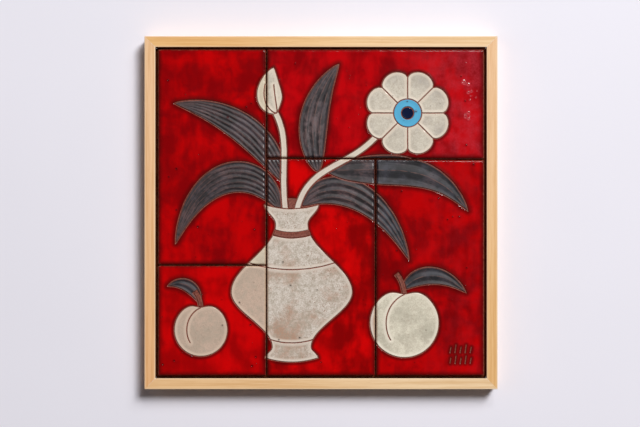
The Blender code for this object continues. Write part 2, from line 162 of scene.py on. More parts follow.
def leafRelief(spine, halfBreadth, flutes, samples=160):
    # crests and hollow flutes in turn from the mid rib out, part filled by the glaze, dying out at the tips
    path = bezier(spine, samples + 1)
    normals, reached = normalsOf(path), reachedAlong(path)
    breadth = leafBreadth(np.linspace(0, 1, samples + 1))
    crest, rounding = leafPlan["crestHeight"], leafPlan["fluteRound"]
    slow, quick, slant = leafPlan["combWaves"]
    places = np.arange(2 * flutes + 1)
    heights = np.where(places % 2, -leafPlan["fluteDepth"], crest)
    heights[-1] = crest / 2

    def relief(points):
        nearest = np.linalg.norm(points[:, None] - path[None], axis=2).argmin(axis=1)
        away = points - path[nearest]
        across = (away * normals[nearest]).sum(axis=1)
        along = reached[nearest] + away[:, 0] * normals[nearest, 1] - away[:, 1] * normals[nearest, 0]
        local = np.maximum(breadth[nearest], 1e-6)
        reach = local * halfBreadth * unit
        # the crests stray a little, as a comb drawn by hand does
        stray = np.sin(along * slow + spine[0][0]) + 0.7 * np.sin(along * quick + across * slant)
        strayed = np.abs(across + leafPlan["combStray"] * stray * local)
        place = np.minimum(strayed / reach, 1) * flutes
        within = place % 1  # 0 and 1 on a crest, 0.5 in a flute
        low = np.interp(place * 2, places, heights)
        eased = crest - (crest - low) * (1 - rounding + rounding * np.sin(math.pi * within))
        crestGap = np.minimum(within, 1 - within) * reach / flutes
        filled = eased * local * leafPlan["glazeFill"][flutes]
        return {"relief": filled, "crestGap": crestGap, "across": across, "along": along, "taper": local}

    return relief


def shape(glaze, outline, lines=(), columns=(), threads=(), relief=None):
    # lines are grooves, columns are crests and flutes, and threads only guide the mesh
    forms = {"columns": columns, "threads": threads, "relief": relief}
    return {"glaze": glaze, "outline": outline, "lines": lines, **forms}


def leaf(spine, halfBreadth, flutes, rows=48):
    path, side, outline = leafSides(spine, halfBreadth, rows)
    columns, threads = (
        [(path + side * share)[1:-1] for share in np.linspace(-1, 1, strips + 1)[1:-1]]
        for strips in (4 * flutes, int(2 * halfBreadth * unit / sheetPlan["threadSpacing"]))
    )
    relief = leafRelief(spine, halfBreadth, flutes)
    return shape("charcoal", outline, columns=columns, threads=threads, relief=relief)


budPlan = {
    "spine": ((-13.6, 30.5), (-16.5, 34.0), (-16.5, 39.0), (-14.5, 44.5)),
    "halfWidth": 3.9,
    "folds": (-0.42, 0.42),
    "foldLength": 0.7,
}


def bud(rows=30):
    path, side, outline = leafSides(budPlan["spine"], budPlan["halfWidth"], rows)
    length = int(rows * budPlan["foldLength"])
    folds = [(path + side * share)[:length] for share in budPlan["folds"]]
    return shape("cream", outline, lines=folds)


stemPlan = {
    "spines": (
        ((-7.6, 0.0), (-4.5, 15.0), (8.0, 13.0), (17.5, 24.0)),
        ((-10.8, 0.0), (-12.8, 14.0), (-9.0, 22.0), (-14.5, 31.5)),
    ),
    "halfWidth": 0.95,
}


def band(spine, halfWidth, rows, glaze):
    path = bezier(spine, rows + 1)
    side = normalsOf(path) * halfWidth * unit
    return shape(glaze, np.vstack([path + side, (path - side)[::-1]]))


vasePlan = {
    "axis": -9.0,
    "foot": -44.5,
    "height": 47.0,
    "levels": (0.0, 0.07, 0.43, 0.87, 1.0),  # shares of the height, each with its half width
    "halfWidths": (8.2, 6.0, 18.6, 5.0, 8.4),
    "strap": (0.80, 0.835),
    "rings": (0.62, 0.12),
    "ringSag": 0.16,
    "mouthRise": 0.22,
}


def vaseHalfWidth(share):
    levels, widths = np.array(vasePlan["levels"]), np.array(vasePlan["halfWidths"])
    place = np.clip(np.searchsorted(levels, share, side="right") - 1, 0, len(levels) - 2)
    within = (share - levels[place]) / (levels[place + 1] - levels[place])
    eased = (1 - np.cos(math.pi * within)) / 2
    return (widths[place] + (widths[place + 1] - widths[place]) * eased) * unit


def vaseLevel(share):
    return (vasePlan["foot"] + vasePlan["height"] * share) * unit


def vaseRing(share, count=25):
    # a line across the vase, bowed down as round a vessel seen from above
    halfWidth = vaseHalfWidth(np.array([share]))[0]
    across = np.linspace(-1, 1, count)
    sag = vasePlan["ringSag"] * halfWidth * (1 - across**2)
    return np.column_stack([vasePlan["axis"] * unit + across * halfWidth, vaseLevel(share) - sag])


def vase(rows=90):
    share = np.linspace(0, 1, rows + 1)
    axis, halfWidth = vasePlan["axis"] * unit, vaseHalfWidth(share)
    left, right = (np.column_stack([axis + side * halfWidth, vaseLevel(share)]) for side in (-1, 1))
    outline = np.vstack([vaseRing(0.0)[:-1], right[:-1], vaseRing(1.0)[:0:-1], left[:0:-1]])
    lower, upper = (vaseRing(place) for place in vasePlan["strap"])
    strap = shape("clay", np.vstack([lower, upper[::-1]]))
    return [strap, shape("cream", outline, lines=[vaseRing(place) for place in vasePlan["rings"]])]


def vaseMouth():
    rim = vaseRing(1.0)
    farRim = rim.copy()
    level = rim[0, 1]
    farRim[:, 1] = level + (level - rim[:, 1]) * vasePlan["mouthRise"] / vasePlan["ringSag"]
    return shape("clay", np.vstack([rim, farRim[-2:0:-1]]))


blossomPlan = {
    "centre": (26.5, 30.5),
    "radius": 13.2,
    "petals": 8,
    "notch": 0.17,
    "fullness": 0.6,
    "heartRadius": 4.3,
    "coreRadius": 1.9,
}


def blossom(perPetal=16):
    plan, centre = blossomPlan, blossomPlan["centre"]
    angle = turnsOf(plan["petals"] * perPetal)
    dip = np.abs(np.sin(angle * plan["petals"] / 2)) ** plan["fullness"]
    radius = plan["radius"] * (1 - plan["notch"] * (1 - dip))
    outline = circle(centre, radius[:, None], len(angle))
    heart = circle(centre, plan["heartRadius"], len(angle))
    notches = np.stack([heart, outline], axis=1)[::perPetal]
    return [
        shape("darkBlue", circle(centre, plan["coreRadius"], 36)),
        shape("paleBlue", circle(centre, plan["heartRadius"], 60)),
        shape("cream", outline, lines=notches),
    ]


fruitPlan = {
    "fruits": (((25.5, -33.5), 10.6), ((-36.8, -35.6), 8.2)),  # centre and radius
    "dimple": 0.16,
    "dimpleAngle": 0.35,
    "droop": 0.03,
    "seam": ((0.0, 0.79), (-0.52, 0.57), (-0.66, -0.09), (-0.4, -0.52)),  # in radii, as is the stalk
    "stalkSpine": ((0.0, 0.8), (-0.03, 1.04), (-0.09, 1.23), (-0.22, 1.39)),
    "stalkHalfWidth": 0.7,
}


def fruit(centre, radius):
    outline = circle(centre, radius, 96)
    middle = np.array(centre) * unit
    reach = outline - middle
    turned = np.arctan2(reach[:, 0], reach[:, 1])
    dimple = fruitPlan["dimple"] * np.exp(-((turned / fruitPlan["dimpleAngle"]) ** 2))
    shrink = 1 - dimple - fruitPlan["droop"] * np.cos(turned)
    seam = bezier(np.array(centre) + np.array(fruitPlan["seam"]) * radius, 25)
    return shape("cream", middle + reach * shrink[:, None], lines=[seam])


def stalk(centre, radius):
    spine = np.array(centre) + np.array(fruitPlan["stalkSpine"]) * radius
    return band(spine, fruitPlan["stalkHalfWidth"], 12, "clay")


markPlan = {
    "corner": (39.5, -46.0),
    "strokes": 5,
    "rows": 2,
    "pitch": 1.55,
    "rowPitch": 3.2,
    "lengths": (1.55, 2.2),
    "lean": 0.3,
}


def mark():
    # two rows of short leaning strokes in the lower right corner
    strokes = []
    for row in range(markPlan["rows"]):
        for place in range(markPlan["strokes"]):
            step = (place * markPlan["pitch"], row * markPlan["rowPitch"])
            foot = np.array(markPlan["corner"]) + step
            top = foot + (markPlan["lean"], markPlan["lengths"][place % 2])
            strokes.append(np.array([foot, top]) * unit)
    return strokes


def hiddenBy(points, covers):
    hidden = np.zeros(len(points), bool)
    for cover in covers:
        hidden |= inside(points, cover["outline"])
    return hidden


def crossing(start, end, covers):
    startHidden = hiddenBy(start[None], covers)[0]
    for _ in range(16):
        middle = (start + end) / 2
        if hiddenBy(middle[None], covers)[0] == startHidden:
            start = middle
        else:
            end = middle
    return (start + end) / 2


def visibleRuns(line, covers):
    # the stretches of a line that no nearer shape covers
    hidden = hiddenBy(line, covers)
    runs, run = [], []
    for place, point in enumerate(line):
        if place and hidden[place] != hidden[place - 1]:
            run.append(crossing(line[place - 1], point, covers))
            if hidden[place]:
                runs.append(np.array(run))
                run = []
        if not hidden[place]:
            run.append(point)
    runs.append(np.array(run))
    return [run for run in runs if len(run) > 1]


def drawPicture():
    # every shape from the nearest to the furthest, the lines cut round them, and their crests and flutes
    shapes = [
        *vase(),
        *blossom(),
        bud(),
        *(fruit(*settings) for settings in fruitPlan["fruits"]),
        *(band(spine, stemPlan["halfWidth"], 40, "cream") for spine in stemPlan["spines"]),
        *(stalk(*settings) for settings in fruitPlan["fruits"]),
        *(leaf(*settings) for settings in leafPlan["leaves"]),
        vaseMouth(),
    ]
    grooves, columns = mark(), []
    for place, each in enumerate(shapes):
        for line in (closed(each["outline"]), *each["lines"]):
            grooves += visibleRuns(line, shapes[:place])
        for line in each["columns"]:
            columns += visibleRuns(line, shapes[:place])
    threads = [line for each in shapes for line in each["threads"]]
    return {"shapes": shapes, "grooves": grooves, "columns": columns, "threads": threads}


# How finely each tile's front is cut into triangles, in metres
sheetPlan = {
    "borderSpacing": 0.0008,
    "borderWaver": 0.00025,
    "lineSpacing": 0.0009,
    "columnSpacing": 0.0010,
    "threadSpacing": 0.0008,
    "threadStep": 0.0016,
    "fillSpacing": 0.0018,
    "lineRows": (0.0004, 0.0008, 0.0012, 0.0017, 0.0024, 0.0034),
    "edgeRows": (0.00035, 0.0008, 0.0013, 0.0019, 0.0026, 0.0035),
    "rowReach": 0.88,  # share of a row's own distance that it keeps from other lines
    "bubblePoints": 10,
    "bubbleRings": (0.0, 0.35, 0.7, 1.0, 1.35),
    "bubbleRoom": 0.00012,
    "edgeRoom": 0.00030,
    "rowRoom": 0.00032,
    "roomShare": 0.62,
    "nearMargin": 0.004,
    "lineSamples": 0.0003,
    "borderSamples": 0.0004,
    "leafSamples": 0.001,
    "mergeDistance": 0.00004,
}

picture = drawPicture()
print("picture drawn:", len(picture["grooves"]), "lines")

# Bubbles and pinholes in the glaze, and dark specks: places in hundredths of the field, radii in metres
bubblePlan = {
    "clusters": ((43.6, 39.2), (46.2, 36.0), (45.4, 29.7)),
    "clusterTile": "tile_upper_right",
    "clusterCount": 5,
    "clusterSpread": 0.8,
    "clusterRadii": (0.0008, 0.0019),
    "scattered": 22,
    "scatteredRadii": (0.0003, 0.0007),
    "scatteredShades": (0.3, 0.8),
    "specks": 9,
    "speckRadii": (0.0008, 0.0015),
    "margin": 0.006,
    "within": 0.98,  # share of the tile, about its middle
}

tileNames = ("tile_upper_left", "tile_lower_left", "tile_upper_right", "tile_middle", "tile_lower_right")
glazeNames = ("cream", "charcoal", "paleBlue", "darkBlue", "clay")
leafNames = ("relief", "crestGap", "across", "along", "taper")


def tileOutline(name):
    # the outline of a CAD tile's flat back, anticlockwise
    corners = np.array([corner.co[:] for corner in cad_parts[name].data.vertices])
    back = corners[corners[:, 1] > corners[:, 1].max() - 0.0001][:, [0, 2]] - fieldCentre
    back = np.unique(back.round(6), axis=0)
    hull = back[convex_hull_2d([Vector(point) for point in back])]
    after = np.roll(hull, -1, axis=0)
    area = (hull[:, 0] * after[:, 1] - hull[:, 1] * after[:, 0]).sum()
    return hull if area > 0 else hull[::-1]


def resample(line, spacing):
    reached = reachedAlong(line)
    count = max(int(round(reached[-1] / spacing)), 1)
    places = np.linspace(0, reached[-1], count + 1)
    return np.column_stack([np.interp(places, reached, line[:, axis]) for axis in (0, 1)])


def treeOf(points):
    tree = KDTree(len(points))
    for place, (x, z) in enumerate(points):
        tree.insert((x, z, 0), place)
    tree.balance()
    return tree


def gapsTo(points, tree):
    return np.array([tree.find((x, z, 0))[2] for x, z in points]) if len(points) else np.zeros(0)


def thinned(points, room):
    # one point to each square cell of the given size
    if not len(points):
        return points
    _, first = np.unique(np.floor(points / room).astype(int), axis=0, return_index=True)
    return points[np.sort(first)]


def waver(place, seed):
    # a smooth wander between 0 and 1 along a closed outline, given places from 0 to 1
    total = np.zeros(len(place))
    for turns in (3, 7, 13, 29, 53, 97, 171):
        total += math.sin(seed * turns) * np.sin(2 * math.pi * turns * place + seed * turns**2)
    return 0.5 + total / 7


def inwardOf(border):
    # unit vectors that point into a closed border, which goes round anticlockwise
    return leftOf(np.roll(border, -1, axis=0) - np.roll(border, 1, axis=0))


def tileBorder(outline, seed):
    border = resample(closed(outline), sheetPlan["borderSpacing"])[:-1]
    places = np.arange(len(border)) / len(border)
    return border + inwardOf(border) * sheetPlan["borderWaver"] * waver(places, seed)[:, None]


def nearTile(points, outline, margin):
    return np.all((points > outline.min(axis=0) - margin) & (points < outline.max(axis=0) + margin), axis=1)


def nearRuns(lines, outline, spacing):
    # the stretch of each line that comes near a tile, with its points evenly spaced
    found = []
    for run in lines:
        run = resample(run, spacing)
        near = nearTile(run, outline, sheetPlan["nearMargin"])
        if near.any():
            first, last = np.flatnonzero(near)[[0, -1]]
            found.append(run[max(first - 1, 0) : last + 2])
    return found


def rowsBeside(line, offsets, spacing, lineTree, bothSides=True):
    # points in rows beside a line, left out where another line is nearer than the row's own
    rows = []
    for offset in offsets:
        for side in (-1, 1) if bothSides else (1,):
            row = resample(line + normalsOf(line) * offset * side, max(spacing, offset * 0.5))
            rows.append(row[gapsTo(row, lineTree) > offset * sheetPlan["rowReach"]])
    return np.vstack(rows)


def joined(lines):
    # the points of all the lines, and the pairs of neighbours on each
    points, edges = [], []
    for line in lines:
        edges += [(len(points) + k, len(points) + k + 1) for k in range(len(line) - 1)]
        points += list(line)
    return np.array(points), edges


def tileBubbles(name, outline, seed):
    # centre, radius and shade of each bubble, pinhole or speck on a tile
    plan, chance = bubblePlan, np.random.default_rng(seed)
    low, high = outline.min(axis=0) + plan["margin"], outline.max(axis=0) - plan["margin"]
    found = []
    for centre in plan["clusters"] if name == plan["clusterTile"] else ():
        for _ in range(plan["clusterCount"]):
            place = (np.array(centre) + chance.normal(0, plan["clusterSpread"], 2)) * unit
            found.append((*place, chance.uniform(*plan["clusterRadii"]), 0.0))
    for _ in range(plan["scattered"]):
        radius, shade = chance.uniform(*plan["scatteredRadii"]), chance.uniform(*plan["scatteredShades"])
        found.append((*chance.uniform(low, high), radius, shade))
    for _ in range(plan["specks"]):
        found.append((*chance.uniform(low, high), chance.uniform(*plan["speckRadii"]), 1.0))
    found = np.array(found)
    share = plan["within"]
    return found[inside(found[:, :2], outline * share + outline.mean(axis=0) * (1 - share))]


def tileSheet(outline, border, bubbles):
    # the tile's front as flat triangles that follow its border, the drawing and the bubbles
    plan = sheetPlan
    lines = nearRuns(picture["grooves"], outline, plan["lineSpacing"])
    columns = nearRuns(picture["columns"], outline, plan["columnSpacing"])
    lineTree = treeOf(np.vstack([resample(line, plan["lineSamples"]) for line in lines]))
    borderTree = treeOf(resample(closed(border), plan["borderSamples"]))
    kept, edges = joined([closed(border), *lines, *columns])
    rows = [rowsBeside(line, plan["lineRows"], plan["lineSpacing"], lineTree) for line in lines]
    edgeRows = rowsBeside(closed(border), plan["edgeRows"], plan["borderSpacing"], borderTree, False)
    around = spokes(turnsOf(plan["bubblePoints"]))
    rings = [
        bubble[:2] + around * bubble[2] * share for bubble in bubbles for share in plan["bubbleRings"]
    ]
    low, high = outline.min(axis=0), outline.max(axis=0)
    across = np.arange(low[0], high[0], plan["fillSpacing"])
    up = np.arange(low[1], high[1], plan["fillSpacing"] * math.sqrt(3) / 2)
    filler = np.stack(np.meshgrid(across, up), axis=-1)
    filler[1::2, :, 0] += plan["fillSpacing"] / 2
    threads = [resample(line, plan["threadStep"]) for line in picture["threads"]]
    threads = np.vstack([line[nearTile(line, outline, 0)] for line in threads])
    stages = (
        (np.vstack(rings), plan["bubbleRoom"]),
        (edgeRows, plan["edgeRoom"]),
        (np.vstack(rows), plan["rowRoom"]),
        (threads[glazeShares(threads)["charcoal"] > 0.5], plan["threadSpacing"] * plan["roomShare"]),
        (filler.reshape(-1, 2), plan["fillSpacing"] * plan["roomShare"]),
    )
    for more, room in stages:
        more = thinned(more[inside(more, border)], room)
        kept = np.vstack([kept, more[gapsTo(more, treeOf(kept)) > room]])
    found, _, triangles, *_ = delaunay_2d_cdt(
        [Vector(point) for point in kept], edges, [], 0, plan["mergeDistance"], False
    )
    flat = np.array([tuple(point) for point in found])
    triangles = np.array(triangles)
    triangles = triangles[inside(flat[triangles].mean(axis=1), border)]
    used, triangles = np.unique(triangles, return_inverse=True)
    return flat[used], triangles.reshape(-1, 3)


def glazeShares(points):
    # which glaze covers each point, and where it lies on its leaf
    shares = {name: np.zeros(len(points)) for name in (*glazeNames, *leafNames)}
    shares["crestGap"] += 0.05  # far from any crest
    free = np.ones(len(points), bool)
    for each in picture["shapes"]:
        own = free & inside(points, each["outline"])
        shares[each["glaze"]][own] = 1
        if each["relief"] and own.any():
            for name, values in each["relief"](points[own]).items():
                shares[name][own] = values
        free &= ~own
    return shares


def leafGaps(points):
    # how far each point is from the nearest leaf
    leaves = [closed(each["outline"]) for each in picture["shapes"] if each["relief"]]
    return gapsTo(points, treeOf(np.vstack([resample(line, sheetPlan["leafSamples"]) for line in leaves])))


def shadedSideGaps(points, border):
    # how far each point is from the border, its upper side left out, for the red's painted shade along the
    # other sides: the upper side faces the light and stays bright
    facesUp = -inwardOf(border)[:, 1]
    return gapsTo(points, treeOf(border[facesUp < 0.7]))


def borderLoop(triangles):
    # the outer edge of the triangles as one loop of points, in order
    edges = np.vstack([triangles[:, [0, 1]], triangles[:, [1, 2]], triangles[:, [2, 0]]])
    known = set(map(tuple, edges))
    after = {start: end for start, end in known if (end, start) not in known}
    loop = [min(after)]
    while after[loop[-1]] != loop[0]:
        loop.append(after[loop[-1]])
    return loop


def toWorld(flat, y):
    return np.column_stack([flat[:, 0] + fieldCentre[0], np.full(len(flat), y), flat[:, 1] + fieldCentre[1]])


def linked(name, data):
    made = bpy.data.objects.new(name, data)
    bpy.context.scene.collection.objects.link(made)
    return made


def meshObject(name, points, faces, edges=()):
    data = bpy.data.meshes.new(name)
    data.from_pydata(points, edges, faces)
    return linked(name, data)


def linesObject(name, lines, y):
    # lines as bare edges, for the relief to measure its distance from
    points, edges = joined(lines)
    return meshObject(name, toWorld(points, y), [], edges)


def bmeshObject(name, mesh):
    data = bpy.data.meshes.new(name)
    mesh.to_mesh(data)
    mesh.free()
    return linked(name, data)


def addValues(data, name, values, domain="POINT"):
    data.attributes.new(name, "FLOAT", domain).data.foreach_set("value", np.asarray(values, np.float32))


def smoothed(data, sharpAngle):
    data.shade_smooth()
    data.set_sharp_from_angle(angle=math.radians(sharpAngle))


# A tile's body, and the relief of its glaze, in metres. The capitalised names are the tree's inputs.
reliefPlan = {
    "tileThickness": 0.0095,
    "sideRow": 0.0048,
    "sharpAngle": 48,
    "Groove Width": 0.0022,
    "Groove Depth": 0.0010,
    "Width Wander": 0.22,
    "Line Wander": 0.00030,
    "Lip Height": 0.00026,
    "Lip Reach": 0.0034,
    "Edge Width": 0.0030,
    "Edge Drop": 0.0021,
    "Edge Lumps": 0.00022,
    "Comb Depth": 0.00016,
    "Swell Height": 0.00012,
    "Swell Size": 0.022,
    "Bubble Depth": 0.45,
    "Bubble Rim": 0.16,
}


class Value:
    # one output of a node: arithmetic on it adds more nodes to the same tree

    def __init__(self, add, socket):
        self.add, self.socket = add, socket

    def math(self, operation, *others, clamp=False):
        values = dict(enumerate((self, *others)))
        return self.add("ShaderNodeMath", values, operation=operation, use_clamp=clamp)

    def vector(self, operation, other):
        return self.add("ShaderNodeVectorMath", {0: self, 1: other}, operation=operation)

    def ease(self, low, high, start=0.0, end=1.0):
        # goes smoothly from start to end as the value goes from low to high
        inputs = {"Value": self, "From Min": low, "From Max": high, "To Min": start, "To Max": end}
        return self.add("ShaderNodeMapRange", inputs, interpolation_type="SMOOTHSTEP")

    def fade(self, low, high, start=1.0):
        return self.ease(low, high, start, 0.0)

    def mix(self, first, second):
        # two colours in the share that the value gives, each a value too or levels on a screen
        first, second = (each if isinstance(each, Value) else paint(*each) for each in (first, second))
        return self.add("ShaderNodeMix", {0: self, 6: first, 7: second}, 2, data_type="RGBA")

    def __add__(self, other):
        return self.math("ADD", other)

    def __sub__(self, other):
        return self.math("SUBTRACT", other)

    def __rsub__(self, other):
        return self.add("ShaderNodeMath", {0: other, 1: self}, operation="SUBTRACT")

    def __mul__(self, other):
        return self.math("MULTIPLY", other)

    def __truediv__(self, other):
        return self.math("DIVIDE", other)

    def __rtruediv__(self, other):
        return self.add("ShaderNodeMath", {0: other, 1: self}, operation="DIVIDE")


def nodeAdder(tree):
    # returns a function that adds a node with its inputs and settings, and gives one of its outputs
    def add(kind, inputs=None, output=0, **settings):
        node = tree.nodes.new(kind)
        for name, value in settings.items():
            setattr(node, name, value)
        for key, value in (inputs or {}).items():
            if isinstance(value, Value):
                tree.links.new(value.socket, node.inputs[key])
            else:
                node.inputs[key].default_value = value
        return Value(add, node.outputs[output]) if len(node.outputs) else None

    return add


def greatest(value, *others):
    for other in others:
        value = value.math("MAXIMUM", other)
    return value


def noise(place, scale, detail=2.0, seed=0.0, roughness=0.5, distortion=0.0, output="Fac"):
    # scale is in waves to the metre
    inputs = {"Vector": place, "W": seed, "Scale": scale, "Detail": detail, "Roughness": roughness}
    inputs["Distortion"] = distortion
    return place.add("ShaderNodeTexNoise", inputs, output, noise_dimensions="4D")


def buildReliefTree():
    # carves the lines, rounds the edge, and puffs, dents and pits the glaze of a flat tile front
    tree = bpy.data.node_groups.new("glazeRelief", "GeometryNodeTree")
    tree.is_modifier = True
    add = nodeAdder(tree)
    wanted = [("Geometry", "NodeSocketGeometry")]
    wanted += [(name, "NodeSocketObject") for name in ("Lines", "Outline", "Bubbles")]
    wanted += [(name, "NodeSocketFloat") for name in reliefPlan if name[0].isupper()]
    wanted += [("Seed", "NodeSocketFloat"), ("Glaze", "NodeSocketMaterial"), ("Body", "NodeSocketMaterial")]
    for name, kind in wanted:
        tree.interface.new_socket(name=name, in_out="INPUT", socket_type=kind)
    tree.interface.new_socket(name="Geometry", in_out="OUTPUT", socket_type="NodeSocketGeometry")
    source = tree.nodes.new("NodeGroupInput")
    given = {name: Value(add, source.outputs[name]) for name, _ in wanted}
    seed = given["Seed"]
    place = add("GeometryNodeInputPosition")

    def field(name):
        return add("GeometryNodeInputNamedAttribute", {"Name": name}, data_type="FLOAT")

    def shown(name):
        return add("GeometryNodeObjectInfo", {"Object": given[name]}, "Geometry", transform_space="ORIGINAL")

    def gapTo(geometry, target, at):
        return add("GeometryNodeProximity", {0: geometry, 2: at}, "Distance", target_element=target)

    def rough(at, scale, detail, height):
        return (noise(at, scale, detail, seed) - 0.5) * 2 * height

    # a line wanders a little to each side, and its width varies
    stray = noise(place, 70, 1, seed, output="Color").vector("SUBTRACT", (0.5, 0.5, 0.5))
    inputs = {0: stray.vector("MULTIPLY", (1, 0, 1)), "Scale": given["Line Wander"] * 2}
    stray = add("ShaderNodeVectorMath", inputs, operation="SCALE")
    lineGap = gapTo(shown("Lines"), "EDGES", place.vector("ADD", stray))
    widths = (noise(place, 55, 2, seed + 7) - 0.5) * (given["Width Wander"] * 2) + 1
    halfWidth = given["Groove Width"] * 0.5 * widths
    across = lineGap / halfWidth
    cut = 1 - across.ease(0.25, 1.05)

    # the glaze stands thick along a line and thins out over the tile's edge
    beyond = (lineGap - halfWidth).math("DIVIDE", given["Lip Reach"], clamp=True)
    lip = across.ease(0.6, 1.15) * beyond.fade(0, 1)
    edgeGap = gapTo(shown("Outline"), "EDGES", place)
    inward = (edgeGap / given["Edge Width"]).math("MULTIPLY_ADD", -1, 1, clamp=True)
    drop = inward.math("POWER", 2.5) * given["Edge Drop"]
    edgeLip = edgeGap.ease(0.001, 0.0035) * edgeGap.fade(0.0035, 0.009)
    lips = (edgeLip * 0.5 + lip) * given["Lip Height"]

    # the glaze swells, is lumpy near the edge, and is combed along the leaves
    swell = rough(place, 1 / given["Swell Size"], 2, given["Swell Height"])
    lumps = rough(place, 230, 1, given["Edge Lumps"]) * edgeGap.ease(0.0018, 0.0045, 1, 0.12)
    onLeaf = add("ShaderNodeCombineXYZ", {0: field("across"), 1: field("along") * 0.07})
    comb = rough(onLeaf, 420, 2, given["Comb Depth"]) * field("taper")

    # bubbles that burst into little craters with a raised rim
    spots = shown("Bubbles")
    nearest = add("GeometryNodeSampleNearest", {"Geometry": spots, "Sample Position": place})

    def ofSpot(name):
        inputs = {"Geometry": spots, "Value": field(name), "Index": nearest}
        return add("GeometryNodeSampleIndex", inputs, data_type="FLOAT")

    radius = ofSpot("radius").math("MAXIMUM", 0.0001)
    spotGap = (gapTo(spots, "POINTS", place) / radius).math("MINIMUM", 5)
    bowl = spotGap.fade(0, 1) * given["Bubble Depth"]
    rim = spotGap.ease(0.6, 1.0) * spotGap.fade(1.0, 1.7)
    bubble = (rim * given["Bubble Rim"] - bowl) * radius

    glazed = field("relief") + comb + (swell + bubble)
    height = glazed * (1 - cut) + lips - cut * given["Groove Depth"] + lumps - drop
    stored = given["Geometry"]
    values = {"lineGap": lineGap, "cut": cut, "edgeGap": edgeGap, "spotGap": spotGap}
    values["spotShade"] = ofSpot("shade")
    for name, value in values.items():
        inputs = {"Geometry": stored, "Name": name, "Value": value}
        stored = add("GeometryNodeStoreNamedAttribute", inputs, data_type="FLOAT", domain="POINT")
    offset = add("ShaderNodeCombineXYZ", {"Y": height * -1})
    inputs = {"Geometry": stored, "Selection": field("front"), "Offset": offset}
    whole = add("GeometryNodeRealizeInstances", {0: add("GeometryNodeSetPosition", inputs)})
    bodied = add("GeometryNodeSetMaterial", {"Geometry": whole, "Material": given["Body"]})
    facing = field("glazed").math("GREATER_THAN", 0.5)
    inputs = {"Geometry": bodied, "Selection": facing, "Material": given["Glaze"]}
    add("NodeGroupOutput", {0: add("GeometryNodeSetMaterial", inputs)})
    return tree


def withTree(source, tree, values):
    # runs a node tree on an object and returns the result as a plain mesh object
    modifier = source.modifiers.new(tree.name, "NODES")
    modifier.node_group = tree
    for item in tree.interface.items_tree:
        if item.in_out == "INPUT" and item.name in values:
            modifier[item.identifier] = values[item.name]
    bpy.context.view_layer.update()
    evaluated = source.evaluated_get(bpy.context.evaluated_depsgraph_get())
    data = bpy.data.meshes.new_from_object(evaluated)
    source.modifiers.remove(modifier)
    old = source.data
    source.data = data
    bpy.data.meshes.remove(old)
    return source


def paint(*levels):
    # a colour given as on a screen, from 0 to 255
    shares = [level / 255 for level in levels]
    linear = [((share + 0.055) / 1.055) ** 2.4 if share > 0.04 else share / 12.92 for share in shares]
    return (*linear, 1.0)


def newMaterial(name, placedBy=None):
    # a material that has only its pattern's place so far: the place on the piece, or an attribute
    made = bpy.data.materials.new(name)
    made.use_nodes = True
    made.node_tree.nodes.clear()
    add = nodeAdder(made.node_tree)
    if placedBy:
        return made, add("ShaderNodeAttribute", output="Vector", attribute_name=placedBy)
    return made, add("ShaderNodeTexCoord", output="Object")


def attribute(place, name):
    return place.add("ShaderNodeAttribute", output="Fac", attribute_name=name)


def axisOf(place, axis):
    return place.add("ShaderNodeSeparateXYZ", {0: place}, axis)


def layered(colour, *layers):
    # lays colours over one another, each in its own share
    for share, over in layers:
        colour = share.mix(colour, over)
    return colour


def fades(gaps, glaze):
    # the strength of each change that a glaze has near a line, a leaf or an edge
    return [gaps[name].fade(*settings) for name, settings in glazeEdges[glaze].items()]


def bumped(height, strength, distance):
    return height.add("ShaderNodeBump", {"Strength": strength, "Distance": distance, "Height": height})


def finishShader(colour, roughness, normal, specular=0.5):
    inputs = {"Base Color": colour, "Roughness": roughness, "Normal": normal, "Specular IOR Level": specular}
    colour.add("ShaderNodeOutputMaterial", {0: colour.add("ShaderNodeBsdfPrincipled", inputs)})


# Each tile's glazes, in the order of tileNames: colours as levels on a screen, and strengths
glazeLooks = {
    "seed": (1.0, 2.0, 3.0, 4.0, 5.0),
    "redDark": ((136, 0, 5), (162, 0, 3), (132, 0, 6), (138, 0, 2), (128, 0, 4)),
    "redBright": ((196, 0, 3), (210, 1, 4), (192, 2, 10), (213, 1, 3), (188, 0, 3)),
    # strength of each tile's painted sheen, a pinkish reflection of the light painted into the red
    "paintedSheen": (0.0, 0.0, 0.65, 0.0, 0.1),
    "cream": ((215, 202, 180), (209, 182, 163), (219, 211, 195), (228, 218, 207), (236, 229, 208)),
    "creamCloud": ((204, 188, 160), (190, 170, 152), (180, 172, 162), (188, 150, 128), (192, 187, 168)),
    "creamRim": ((220, 206, 182), (216, 192, 172), (228, 214, 196), (224, 210, 196), (238, 228, 210)),
    "clouds": (0.6, 0.8, 0.9, 1.0, 0.9),
    "mottle": (0.35, 0.5, 0.45, 0.8, 0.42),
    "speckle": (0.15, 0.45, 0.3, 1.0, 0.25),
    "combed": ((74, 58, 62), (74, 60, 62), (104, 88, 90), (78, 62, 66), (70, 56, 60)),
    "smoothGrey": (0.1, 0.7, 0.3, 0.2, 0.85),
    "crest": (0.6, 1.0, 1.0, 0.8, 1.0),
}

